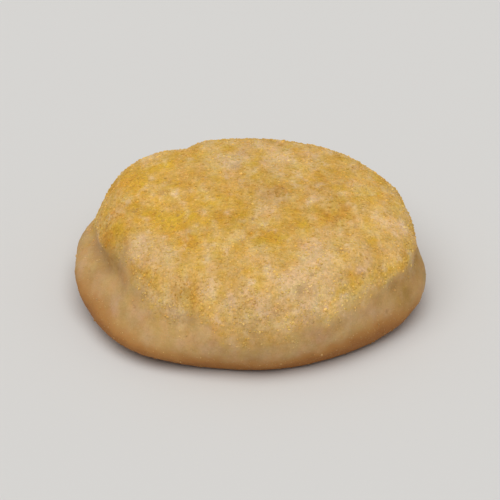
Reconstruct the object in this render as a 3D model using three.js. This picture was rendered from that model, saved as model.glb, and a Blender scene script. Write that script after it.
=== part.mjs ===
// An English muffin: one flat, round, griddle-baked bread of one piece.
//
// It lies on its flat foot, Z up, in millimetres, with the middle of its box at the foot's level as the
// origin. The side bulges out to its girth low down and leans in above it. It rolls over a round shoulder into
// a top that is almost flat. On the left the body spreads under the cap as a low lobe, with a deep fold between
// the two.
//
// Directions round the muffin are angles in degrees, seen from above: 0 is +X, 90 is +Y, the far side, and 270
// is -Y, the near side.
import * as THREE from "three";
import { mergeVertices } from "three/addons/utils/BufferGeometryUtils.js";
import { ImprovedNoise } from "three/addons/math/ImprovedNoise.js";

const { clamp, degToRad, lerp, radToDeg, smoothstep } = THREE.MathUtils;

// Driving dimensions of the half outline, from the axis out.
const HEIGHT = 28.2;
const GIRTH_RADIUS = 45.2;
const GIRTH_HEIGHT = 8.5;
const FOOT_RADIUS = 38.5;
const FOOT_EDGE_HEIGHT = 1.8;
const FOOT_EDGE_RADIUS = 42.6;
const CAP_RADIUS = 43.2;
const CAP_HEIGHT = 16.8;
const CAP_LEAN = 0.34; // mm in for each mm up, at the cap's widest
const SHOULDER_RADIUS = 33.0;
const SHOULDER_HEIGHT = 25.9;
const SHOULDER_SLOPE = 0.14; // mm down for each mm out, where the shoulder meets the top

// How far each bend of the half outline is drawn out along its ends, in mm. A longer one gives a fuller bend.
const FOOT_EDGE_BEND = 1.2;
const GIRTH_BEND = 3.0;
const CAP_BEND = 4.4;
const SHOULDER_BEND = 5.0;
const TOP_BEND = 8.0;

// How the surface is cut up. A triangle covers about the same area everywhere, times these shares.
const SPHERE_DETAIL = 19;
const OUTLINE_STEPS = 600;
const FOOT_DENSITY = 0.3;
const SIDE_DENSITY = 1.5;

// The outline seen from above: waves round the muffin, each a share of the radius.
const OUTLINE_WAVES = [
  { turns: 1, share: 0.004, at: 180 },
  { turns: 2, share: 0.010, at: 5 },
  { turns: 3, share: 0.007, at: 140 },
  { turns: 5, share: 0.005, at: 60 },
  { turns: 8, share: 0.003, at: 20 },
];

// Swellings and hollows of the side and shoulder, in mm out from the axis. Each has a direction, a height, and
// how far it reaches round the muffin, in degrees, and up and down, in mm.
const SIDE_FORMS = [
  { name: "low lobe left", out: 2.2, at: 180, height: 8.8, around: 26, reach: 5.4 },
  { name: "low lobe far left", out: 1.4, at: 167, height: 11.0, around: 9, reach: 4.2 },
  { name: "low lobe near left", out: 4.1, at: 225, height: 4.0, around: 23, reach: 5.5 },
  { name: "low lobe right", out: 1.0, at: 344, height: 6.5, around: 14, reach: 5.5 },
  { name: "low lobe near", out: 0.4, at: 262, height: 8.0, around: 30, reach: 5.0 },
  { name: "foot spreads near right", out: 1.1, at: 320, height: 3.0, around: 17, reach: 4.0 },
  { name: "cap swells left of the far side", out: 2.3, at: 141, height: 21.0, around: 13, reach: 6.0 },
  { name: "notch beside it", out: -1.7, at: 121, height: 22.0, around: 4.5, reach: 5.5 },
  { name: "cap flattened left", out: -0.2, at: 163, height: 20.0, around: 12, reach: 7.0 },
  { name: "side drawn in right", out: -2.6, at: 13, height: 12.5, around: 14, reach: 6.5 },
  { name: "crease over the low lobe right", out: -1.6, at: 350, height: 13.8, around: 11, reach: 2.8 },
  { name: "cap swells near right", out: 1.4, at: 336, height: 21.0, around: 15, reach: 4.5 },
  { name: "cap swells right of the far side", out: 0.6, at: 52, height: 21.0, around: 18, reach: 7.0 },
  { name: "cap set back over the low lobe", out: -3.2, at: 204, height: 19.0, around: 19, reach: 6.5 },
  { name: "cap swells near", out: 0.5, at: 292, height: 17.0, around: 18, reach: 6.0 },
  { name: "tuck on the near right", out: -0.9, at: 329, height: 15.0, around: 5.0, reach: 2.4 },
  { name: "small tuck near", out: -0.6, at: 247, height: 13.5, around: 6.0, reach: 2.4 },
];

// The forms of the side fade out underneath, from the first of these radii in to the second.
const FORMS_FULL_RADIUS = 34.7;
const FORMS_END_RADIUS = 11.5;

// The fold between body and cap. It runs all the way round, rises and falls twice, and is deep near FOLD_AT.
const FOLD_HEIGHT = 13.2;
const FOLD_RISE = 1.2;
const FOLD_HIGHEST_AT = 25;
const FOLD_HALF_WIDTH = 2.8;
const FOLD_DEPTH = 0.15;
const FOLD_EXTRA_DEPTH = 3.1;
const FOLD_AT = 189;
const FOLD_AROUND = 23;

// Low hills and hollows of the top, in mm up, at a place in plan.
const TOP_FORMS = [
  { name: "crown off centre", up: 0.8, x: -4, y: 14, reach: 17 },
  { name: "far rim high", up: 1.9, x: -13, y: 29, reach: 18 },
  { name: "crease in from the notch", up: -1.1, x: -17.0, y: 30.5, reach: 4.6 },
  { name: "end of that crease", up: -0.55, x: -13.0, y: 23.0, reach: 4.2 },
  { name: "dip left", up: -0.6, x: -27, y: -6, reach: 9 },
  { name: "dip near right", up: -0.5, x: 15, y: -17, reach: 9 },
  { name: "rise right", up: 0.5, x: 28, y: 3, reach: 9 },
];

// The crust's own unevenness: wavelength and height of each layer, in mm, and where its pattern starts.
const RELIEF_LAYERS = [
  { wavelength: 21, height: 0.85, start: 11.3 },
  { wavelength: 9.5, height: 0.42, start: 47.9 },
  { wavelength: 5.2, height: 0.3, start: 83.1 },
];

const CRUST_COLOUR = 0xcfa65c;
const CRUST_ROUGHNESS = 0.85;

const noise = new ImprovedNoise();

// The half outline from the middle of the foot, out and up to the middle of the top: x = radius, y = height.
function halfOutline() {
  const path = new THREE.Path();
  path.moveTo(0, 0);
  path.lineTo(FOOT_RADIUS, 0);
  path.quadraticCurveTo(FOOT_EDGE_RADIUS - FOOT_EDGE_BEND, 0, FOOT_EDGE_RADIUS, FOOT_EDGE_HEIGHT);
  path.bezierCurveTo(
    FOOT_EDGE_RADIUS + FOOT_EDGE_BEND, FOOT_EDGE_HEIGHT + FOOT_EDGE_HEIGHT,
    GIRTH_RADIUS, GIRTH_HEIGHT - GIRTH_BEND,
    GIRTH_RADIUS, GIRTH_HEIGHT,
  );
  path.bezierCurveTo(
    GIRTH_RADIUS, GIRTH_HEIGHT + GIRTH_BEND,
    CAP_RADIUS + GIRTH_BEND * CAP_LEAN, CAP_HEIGHT - GIRTH_BEND,
    CAP_RADIUS, CAP_HEIGHT,
  );
  path.bezierCurveTo(
    CAP_RADIUS - CAP_BEND * CAP_LEAN, CAP_HEIGHT + CAP_BEND,
    SHOULDER_RADIUS + SHOULDER_BEND, SHOULDER_HEIGHT - SHOULDER_BEND * SHOULDER_SLOPE,
    SHOULDER_RADIUS, SHOULDER_HEIGHT,
  );
  path.bezierCurveTo(
    SHOULDER_RADIUS - TOP_BEND, SHOULDER_HEIGHT + TOP_BEND * SHOULDER_SLOPE,
    SHOULDER_RADIUS / 2, HEIGHT,
    0, HEIGHT,
  );
  return path.getSpacedPoints(OUTLINE_STEPS);
}

// How many triangles a unit of area gets at a point of the half outline.
function densityAt(point) {
  if (point.y === 0) return FOOT_DENSITY;
  return point.x > SHOULDER_RADIUS ? SIDE_DENSITY : 1;
}

// Turns the half outline into rows of { radius, height, normal, share }, where share is how much of the whole
// surface, by number of triangles, lies below that row, from 0 to 1.
function surfaceRows() {
  const points = halfOutline();
  let sum = 0;
  const rows = points.map((point, i) => {
    const before = points[Math.max(i - 1, 0)];
    const after = points[Math.min(i + 1, points.length - 1)];
    if (i > 0) sum += densityAt(before) * (before.x + point.x) * before.distanceTo(point);
    const along = after.clone().sub(before).normalize();
    return { radius: point.x, height: point.y, normal: new THREE.Vector2(along.y, -along.x), sum };
  });
  return rows.map((row) => ({ ...row, share: row.sum / sum }));
}

// The point and normal of the half outline that has the given share of the surface below it.
function outlineAt(rows, share) {
  let high = rows.findIndex((row) => row.share >= share);
  if (high < 1) high = high < 0 ? rows.length - 1 : 1;
  const a = rows[high - 1];
  const b = rows[high];
  const t = clamp((share - a.share) / (b.share - a.share), 0, 1);
  return {
    radius: lerp(a.radius, b.radius, t),
    height: lerp(a.height, b.height, t),
    normal: a.normal.clone().lerp(b.normal, t).normalize(),
  };
}

// A smooth hump, 1 at no distance and close to 0 past twice the reach.
function hump(distance, reach) {
  return Math.exp(-((distance / reach) ** 2));
}

// The angle between two directions round the muffin, in degrees, from 0 to 180.
function turnBetween(a, b) {
  const turn = Math.abs(a - b) % 360;
  return Math.min(turn, 360 - turn);
}

function outlineFactor(angle) {
  return OUTLINE_WAVES.reduce(
    (factor, wave) => factor + wave.share * Math.cos(degToRad(wave.turns * (angle - wave.at))),
    1,
  );
}

function sideForms(angle, height) {
  return SIDE_FORMS.reduce((sum, { out, at, height: middle, around, reach }) => {
    return sum + out * hump(turnBetween(angle, at), around) * hump(height - middle, reach);
  }, 0);
}

function foldDepth(angle, height) {
  const rise = FOLD_RISE * Math.cos(degToRad(2 * (angle - FOLD_HIGHEST_AT)));
  const depth = FOLD_DEPTH + FOLD_EXTRA_DEPTH * hump(turnBetween(angle, FOLD_AT), FOLD_AROUND);
  return depth * hump(height - FOLD_HEIGHT - rise, FOLD_HALF_WIDTH);
}

function topForms(x, y) {
  return TOP_FORMS.reduce((sum, form) => {
    return sum + form.up * hump(Math.hypot(x - form.x, y - form.y), form.reach);
  }, 0);
}

function crustRelief(x, y, z) {
  return RELIEF_LAYERS.reduce(
    (out, { wavelength, height, start }) =>
      out + height * noise.noise(x / wavelength + start, y / wavelength + start, z / wavelength + start),
    0,
  );
}

// Where a direction from the middle of a unit sphere lands on the muffin's surface. Each part of the sphere
// goes to its share of the muffin, so that the triangles stay even.
function surfacePoint(direction, rows) {
  const angle = (radToDeg(Math.atan2(direction.y, direction.x)) + 360) % 360;
  const { radius, height, normal } = outlineAt(rows, (1 + direction.z) / 2);
  const outward = new THREE.Vector2(direction.x, direction.y).normalize();
  const clearOfFoot = smoothstep(height, 0, 2 * FOOT_EDGE_HEIGHT);
  const clearOfAxis = smoothstep(radius, FORMS_END_RADIUS, FORMS_FULL_RADIUS);
  const facingUp = smoothstep(normal.y, 0.2, 0.9);
  const formed =
    radius * outlineFactor(angle) + clearOfAxis * (sideForms(angle, height) - foldDepth(angle, height));
  const [x, y] = [outward.x * formed, outward.y * formed];
  const relief = clearOfFoot * crustRelief(x, y, height);
  return new THREE.Vector3(
    x + outward.x * normal.x * relief,
    y + outward.y * normal.x * relief,
    height + normal.y * relief + facingUp * topForms(x, y),
  );
}

function muffinGeometry() {
  const sphere = new THREE.IcosahedronGeometry(1, SPHERE_DETAIL);
  sphere.deleteAttribute("normal");
  sphere.deleteAttribute("uv");
  const geometry = mergeVertices(sphere);
  const position = geometry.getAttribute("position");
  const rows = surfaceRows();
  for (let i = 0; i < position.count; i++) {
    const direction = new THREE.Vector3().fromBufferAttribute(position, i).normalize();
    position.setXYZ(i, ...surfacePoint(direction, rows));
  }
  geometry.computeBoundingBox();
  const middle = geometry.boundingBox.getCenter(new THREE.Vector3());
  geometry.translate(-middle.x, -middle.y, -geometry.boundingBox.min.z);
  geometry.computeVertexNormals();
  return geometry;
}

const muffin = new THREE.Mesh(
  muffinGeometry(),
  new THREE.MeshStandardMaterial({ color: CRUST_COLOUR, roughness: CRUST_ROUGHNESS, metalness: 0 }),
);
muffin.name = "english_muffin";

const group = new THREE.Group();
group.add(muffin);

export default group;
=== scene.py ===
"""The finish of one English muffin: its baked crust and its cornmeal, on a pale studio floor.

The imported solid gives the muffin's form, size and place. The crust is that form, cut finer and given the
relief and colours of griddle-baked dough by one Geometry Nodes tree. The cornmeal is thousands of small
crumbs of real size, in a coarse and a fine sort, each set on the crust by a tree of its own. Blender's own
lengths are metres. Names that end in _mm are in millimetres, and names that end in _deg are in degrees.
"""

from __future__ import annotations

import logging
import math
from dataclasses import dataclass, replace
from enum import Enum
from typing import Optional, Union

import bmesh
import bpy
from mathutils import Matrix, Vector

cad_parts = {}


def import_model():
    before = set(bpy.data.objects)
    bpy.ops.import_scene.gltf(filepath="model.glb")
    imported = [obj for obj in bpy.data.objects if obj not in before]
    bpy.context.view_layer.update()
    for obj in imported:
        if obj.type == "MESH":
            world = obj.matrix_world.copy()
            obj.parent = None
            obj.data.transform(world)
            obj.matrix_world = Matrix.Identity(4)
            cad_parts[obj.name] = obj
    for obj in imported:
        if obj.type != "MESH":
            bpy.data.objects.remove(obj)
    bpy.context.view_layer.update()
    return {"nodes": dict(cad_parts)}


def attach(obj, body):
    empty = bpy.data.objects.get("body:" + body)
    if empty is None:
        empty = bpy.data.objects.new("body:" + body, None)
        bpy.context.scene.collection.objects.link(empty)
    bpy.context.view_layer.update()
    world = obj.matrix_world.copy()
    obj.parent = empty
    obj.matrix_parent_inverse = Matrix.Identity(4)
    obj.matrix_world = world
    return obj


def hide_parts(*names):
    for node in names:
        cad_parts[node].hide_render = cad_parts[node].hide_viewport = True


MM = 0.001
BODY = "root"
MUFFIN_NODE = "english_muffin"

# Broad patterns are read at places that are drawn in by these shares along X, Y and Z, so that their marks
# come out longer from front to back and a little taller.
DRAWN_IN = (1.0, 0.60, 0.85)

Colour = tuple[float, float, float]
Spot = tuple[float, float, float]
Span = tuple[float, float]
Key = Union[int, str]
log = logging.getLogger("english_muffin")


class Attribute(Enum):
    """The numbers that the trees leave on the meshes for the materials to read.

    DUSTED, TOASTED, HOLLOW and TINT go from 0 to 1, TONE and WARM mostly do, and SHADE lies around 0. TINT is
    on the grains alone. SHADE is random lightness together with painted shade in the lee of the cap, on
    the low lobe and at some patches. HOLLOW also darkens the crust's colour as painted shade in its hollows.
    """

    DUSTED = "dusted"
    TONE = "tone"
    WARM = "warm"
    SHADE = "shade"
    TOASTED = "toasted"
    HOLLOW = "hollow"
    TINT = "tint"


@dataclass(frozen=True)
class Wave:
    """One pattern of smooth noise.

    Attributes:
        size: How wide one wave is, in mm, or in widths of a grain on the grain itself.
        detail: How many finer layers are added.
        seed: Which pattern it is.
        strength: How far it swings to each side of 0.
    """

    size: float
    detail: float
    seed: int
    strength: float = 1.0


# ---------------------------------------------------------------------------------------------------------
# Node trees as expressions
# ---------------------------------------------------------------------------------------------------------


class Socket:
    """An output socket, whose operators add the nodes that work the result out."""

    def __init__(self, graph: Graph, output: bpy.types.NodeSocket) -> None:
        """Keeps the output and the graph that it belongs to."""
        self.graph = graph
        self.output = output

    def __add__(self, other: Value) -> Socket:
        """Adds a number, or a vector to a vector."""
        return self.graph.combine("ADD", self, other)

    def __radd__(self, other: Value) -> Socket:
        """Adds this socket to a number."""
        return self.graph.combine("ADD", other, self)

    def __sub__(self, other: Value) -> Socket:
        """Takes a number or socket from this socket."""
        return self.graph.combine("SUBTRACT", self, other)

    def __rsub__(self, other: Value) -> Socket:
        """Takes this socket from a number."""
        return self.graph.combine("SUBTRACT", other, self)

    def __mul__(self, other: Value) -> Socket:
        """Multiplies by a number, or a vector by each part of a vector."""
        return self.graph.combine("MULTIPLY", self, other)

    def __rmul__(self, other: Value) -> Socket:
        """Multiplies a number by this socket."""
        return self.graph.combine("MULTIPLY", other, self)

    def __truediv__(self, other: Value) -> Socket:
        """Divides by a number or a socket."""
        return self.graph.combine("DIVIDE", self, other)

    def __rtruediv__(self, other: Value) -> Socket:
        """Divides a number by this socket."""
        return self.graph.combine("DIVIDE", other, self)

    def __neg__(self) -> Socket:
        """Turns the sign."""
        return self.graph.combine("MULTIPLY", self, -1.0)


Value = Union[Socket, float, int, bool, str, tuple, list, bpy.types.ID]


class Made:
    """A node that was just added, which gives its outputs by index or name."""

    def __init__(self, graph: Graph, node: bpy.types.Node) -> None:
        """Keeps the node and the graph that it is in."""
        self.graph = graph
        self.node = node

    def __getitem__(self, key: Key) -> Socket:
        """Returns one of the node's outputs."""
        return Socket(self.graph, self.node.outputs[key])


class Graph:
    """Adds nodes to one tree, of a material or of a Geometry Nodes modifier.

    Attributes:
        noise_step: How far the noise of one seed lies from the next, so that no two patterns are alike.
        cell_step: The same for cells.
        noise_roughness: How strong each finer layer of noise is, as a share of the one before.
    """

    noise_step = (13.7, -7.9, 5.3)
    cell_step = (11.1, 3.7, -9.3)
    noise_roughness = 0.55

    def __init__(self, tree: bpy.types.NodeTree) -> None:
        """Keeps the tree."""
        self.tree = tree

    def node(self, kind: str, settings: Optional[dict[str, object]] = None,
             inputs: Optional[dict[Key, Value]] = None) -> Made:
        """Adds one node.

        Args:
            kind: The node's type.
            settings: Its own settings, which are set first. A ramp's stops are a list of (place, colour).
            inputs: What its input sockets get, by index or name.

        Returns:
            The node, which gives its outputs.
        """
        node = self.tree.nodes.new(kind)
        for name, value in (settings or {}).items():
            if name == "stops":
                self._set_stops(node.color_ramp, value)
            else:
                setattr(node, name, value)
        for key, value in (inputs or {}).items():
            self._feed(node.inputs[key], value)
        return Made(self, node)

    def _set_stops(self, ramp: bpy.types.ColorRamp, stops: list[tuple[float, Colour]]) -> None:
        """Gives a colour ramp its stops.

        Args:
            ramp: The ramp, which has two stops when it is new.
            stops: Each stop's place and colour.
        """
        while len(ramp.elements) < len(stops):
            ramp.elements.new(1.0)
        for element, (place, colour) in zip(ramp.elements, stops):
            element.position = place
            element.color = (*colour, 1.0)

    def _feed(self, socket: bpy.types.NodeSocket, value: Value) -> None:
        """Links an input to a socket, or to each socket of a list, or sets the input's own value.

        Args:
            socket: The node's input.
            value: What it gets.
        """
        if isinstance(value, Socket):
            self.tree.links.new(value.output, socket)
        elif isinstance(value, list):
            for one in value:
                self.tree.links.new(one.output, socket)
        elif socket.type == "VECTOR" and isinstance(value, (int, float)):
            socket.default_value = (value,) * 3
        elif socket.type == "RGBA":
            socket.default_value = (*value, 1.0)
        else:
            socket.default_value = value

    def combine(self, operation: str, first: Value, second: Value) -> Socket:
        """Adds a Math node, or a Vector Math node where either side is a vector.

        Args:
            operation: What the node does.
            first: Its first number or vector.
            second: Its second number or vector.

        Returns:
            The result.
        """
        vector = self._is_vector(first) or self._is_vector(second)
        kind = "ShaderNodeVectorMath" if vector else "ShaderNodeMath"
        return self.node(kind, {"operation": operation}, {0: first, 1: second})[0]

    def _is_vector(self, value: Value) -> bool:
        """Returns whether a value is a vector or a colour."""
        linked = isinstance(value, Socket) and value.output.type in ("VECTOR", "RGBA")
        return linked or isinstance(value, tuple)

    def math(self, operation: str, *values: Value) -> Socket:
        """Adds a Math node of any operation."""
        return self.node("ShaderNodeMath", {"operation": operation}, dict(enumerate(values)))[0]

    def step(self, value: Value, start: float, end: float) -> Socket:
        """Goes smoothly from 0 to 1.

        Args:
            value: The number that is looked at.
            start: Where the result is still 0.
            end: Where it has come to 1. With an end below the start, it falls as the number grows.

        Returns:
            A number from 0 to 1.
        """
        ends = (start, end, 0.0, 1.0) if start < end else (end, start, 1.0, 0.0)
        inputs = dict(zip(("From Min", "From Max", "To Min", "To Max"), ends))
        settings = {"interpolation_type": "SMOOTHSTEP"}
        return self.node("ShaderNodeMapRange", settings, {"Value": value, **inputs})["Result"]

    def hump(self, distance: Socket, reach: float) -> Socket:
        """Returns 1 at no distance, falling smoothly to nearly 0 at twice the reach."""
        share = distance / reach
        return self.math("EXPONENT", -(share * share))

    def noise(self, place: Socket, wave: Wave) -> Socket:
        """Makes smooth noise.

        Args:
            place: Where each point is.
            wave: The pattern.

        Returns:
            Noise around 0, which stays within the wave's strength.
        """
        inputs = {
            "Vector": place + tuple(wave.seed * step for step in self.noise_step),
            "Scale": 1.0 / wave.size,
            "Detail": wave.detail,
            "Roughness": self.noise_roughness,
        }
        swing = self.node("ShaderNodeTexNoise", {}, inputs)[0] * 2.0 - 1.0
        return swing * wave.strength

    def waves(self, place: Socket, waves: tuple[Wave, ...]) -> Socket:
        """Returns the sum of several patterns of noise."""
        first, *others = (self.noise(place, wave) for wave in waves)
        return sum(others, first)

    def cells(self, place: Socket, size: float, seed: int = 0) -> tuple[Socket, Socket]:
        """Cuts space into cells like packed grains.

        Args:
            place: Where each point is.
            size: How wide one cell is.
            seed: Which pattern it is.

        Returns:
            The distance from each cell's middle, as a share of its size, and a random number for each cell.
        """
        moved = place + tuple(seed * step for step in self.cell_step)
        made = self.node("ShaderNodeTexVoronoi", {}, {"Vector": moved, "Scale": 1.0 / size})
        return made["Distance"], self.parts(made["Color"])[0]

    def mix(self, factor: Value, first: Value, second: Value) -> Socket:
        """Returns a mix of two colours, in which the factor is the share of the second."""
        # Inputs 6 and 7 and output 2 are the node's colours.
        inputs = {0: factor, 6: first, 7: second}
        return self.node("ShaderNodeMix", {"data_type": "RGBA", "clamp_factor": True}, inputs)[2]

    def parts(self, vector: Socket) -> tuple[Socket, Socket, Socket]:
        """Returns a vector's X, Y and Z."""
        made = self.node("ShaderNodeSeparateXYZ", {}, {0: vector})
        return made[0], made[1], made[2]

    def vector(self, x: Value, y: Value, z: Value) -> Socket:
        """Returns the vector of three numbers."""
        return self.node("ShaderNodeCombineXYZ", {}, {0: x, 1: y, 2: z})[0]


class ModifierTree:
    """A Geometry Nodes tree with named numbers as inputs, run once on an object."""

    def __init__(self, name: str, sizes: dict[str, Union[int, float]]) -> None:
        """Makes the tree with one input for each number.

        Args:
            name: The tree's name.
            sizes: Each input's name and value. Whole numbers make whole-number inputs.
        """
        self.name = name
        self.sizes = sizes
        self.tree = bpy.data.node_groups.new(name, "GeometryNodeTree")
        self.graph = Graph(self.tree)
        self.identifiers: dict[str, str] = {}
        interface = self.tree.interface
        interface.new_socket("Geometry", in_out="INPUT", socket_type="NodeSocketGeometry")
        interface.new_socket("Geometry", in_out="OUTPUT", socket_type="NodeSocketGeometry")
        for label, value in sizes.items():
            kind = "NodeSocketInt" if isinstance(value, int) else "NodeSocketFloat"
            socket = interface.new_socket(label, in_out="INPUT", socket_type=kind)
            self.identifiers[label] = socket.identifier
        self.inputs = self.graph.node("NodeGroupInput")

    def __getitem__(self, label: str) -> Socket:
        """Returns one of the tree's inputs."""
        return self.inputs[label]

    def end(self, geometry: Socket, material: bpy.types.Material) -> None:
        """Ends the tree in real meshes of one material.

        Args:
            geometry: What the tree has made.
            material: The finish that it gets.
        """
        real = self.graph.node("GeometryNodeRealizeInstances", {}, {"Geometry": geometry})[0]
        dressed = self.graph.node("GeometryNodeSetMaterial", {}, {"Geometry": real, "Material": material})[0]
        self.graph.node("NodeGroupOutput", {}, {0: dressed})

    def make(self, source: bpy.types.Mesh, name: str) -> bpy.types.Object:
        """Runs the tree on a mesh.

        Args:
            source: The mesh that the tree starts from.
            name: The new piece's name.

        Returns:
            The result as an object of one plain mesh, with no modifier.
        """
        piece = bpy.data.objects.new(name, source)
        bpy.context.scene.collection.objects.link(piece)
        modifier = piece.modifiers.new(self.name, "NODES")
        modifier.node_group = self.tree
        for label, identifier in self.identifiers.items():
            modifier[identifier] = self.sizes[label]
        evaluated = piece.evaluated_get(bpy.context.evaluated_depsgraph_get())
        mesh = bpy.data.meshes.new_from_object(evaluated)
        piece.modifiers.remove(modifier)
        piece.data = mesh
        mesh.name = name
        return piece


# ---------------------------------------------------------------------------------------------------------
# Finishes
# ---------------------------------------------------------------------------------------------------------


class Finish:
    """A material that is built by nodes round one Principled shader."""

    name = "finish"

    def material(self) -> bpy.types.Material:
        """Builds the nodes.

        Returns:
            The material, with its shader's own numbers set and its patterns linked.
        """
        material = bpy.data.materials.new(self.name)
        material.use_nodes = True
        material.node_tree.nodes.clear()
        graph = Graph(material.node_tree)
        shader = graph.node("ShaderNodeBsdfPrincipled", {}, {**self.constants(), **self.patterns(graph)})
        graph.node("ShaderNodeOutputMaterial", {}, {"Surface": shader[0]})
        return material

    def constants(self) -> dict[Key, Value]:
        """Returns the shader's numbers that are the same all over."""
        return {}

    def patterns(self, graph: Graph) -> dict[Key, Value]:
        """Returns the shader's inputs that change over the surface."""
        return {}

    def place_mm(self, graph: Graph) -> Socket:
        """Returns where each point is on the muffin."""
        return graph.node("ShaderNodeTexCoord")["Object"] * (1.0 / MM)

    def read(self, graph: Graph, attribute: Attribute) -> Socket:
        """Returns a number that the geometry carries."""
        return graph.node("ShaderNodeAttribute", {"attribute_name": attribute.value})["Fac"]


class BakedFinish(Finish):
    """A finish whose colour goes with the lightness, painted shade and gold of the crust.

    Attributes:
        shade_push: What a lighter place adds to red, green and blue, as a share of each.
        bright_waves: Where the gold is brighter.
        bright_push: What a brighter place adds.
        orange_wave: Where the gold leans to orange.
        orange_push: What such a place adds.
    """

    shade_push = (0.20, 0.26, 0.46)
    bright_waves = (
        Wave(5.0, detail=2.0, seed=61, strength=0.45),
        Wave(10.0, detail=1.0, seed=62, strength=0.30),
    )
    bright_push = (0.13, 0.12, -0.30)
    orange_wave = Wave(4.0, detail=2.0, seed=63)
    orange_push = (0.05, -0.09, 0.0)

    def shaded(self, graph: Graph, colour: Socket, drawn: Socket) -> Socket:
        """Varies a baked colour over the muffin.

        Args:
            graph: The material's graph.
            colour: The colour before.
            drawn: Where each point is, drawn in.

        Returns:
            The colour, paler where the crust is lighter, browner where it is darker, and here and there
            brighter gold or more orange.
        """
        # SHADE brings random lightness and also painted shade: in the lee of the cap, on the low lobe and at
        # some patches.
        shade = self.read(graph, Attribute.SHADE)
        lighter = graph.vector(*(shade * push + 1.0 for push in self.shade_push))
        bright = graph.waves(drawn, self.bright_waves)
        orange = graph.noise(drawn, self.orange_wave)
        pushes = zip(self.bright_push, self.orange_push)
        warmer = graph.vector(*(bright * first + orange * second + 1.0 for first, second in pushes))
        return colour * lighter * warmer


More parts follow.
